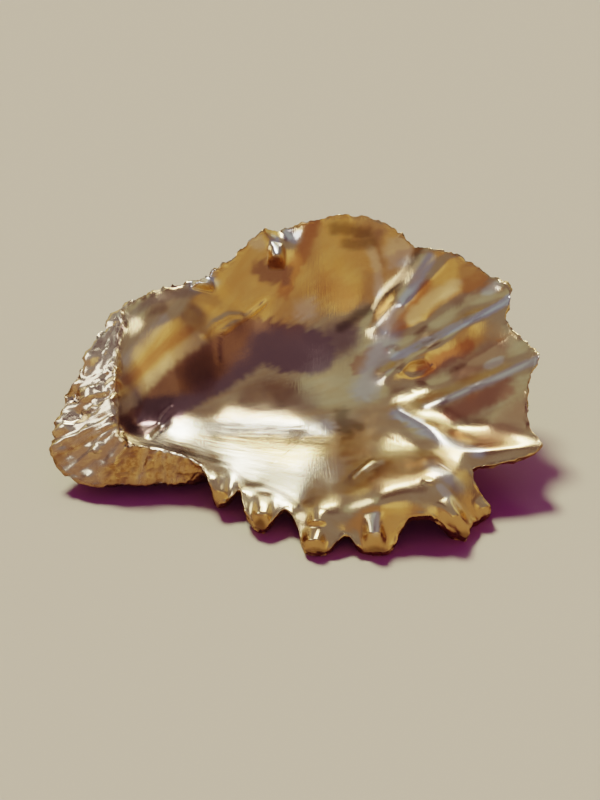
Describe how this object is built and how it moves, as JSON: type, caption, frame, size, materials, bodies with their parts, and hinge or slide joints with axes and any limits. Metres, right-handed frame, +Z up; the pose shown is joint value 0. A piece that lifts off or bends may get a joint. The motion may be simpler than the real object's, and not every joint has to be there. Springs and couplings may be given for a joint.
{
  "type": "fossil oyster shell",
  "caption": "Single deeply cupped valve of a plicate fossil oyster, gilded all over, with a fluted end, a toothed front lip and a thick rough hinge end; it lies on its belly.",
  "frame": {"origin": "on the surface that the shell rests on, under the middle of its box", "axes": "+X from the thick hinge end to the fluted end, +Y from the toothed front lip to the tall back wall, +Z up"},
  "size_m": [0.0898, 0.058, 0.038],
  "materials": {
    "gilding": "glossy gold film over the shell's own fine growth striae, worn and crumbly at the rim"
  },
  "bodies": {
    "root": {"oyster_valve": "gilding"}
  },
  "joints": []
}
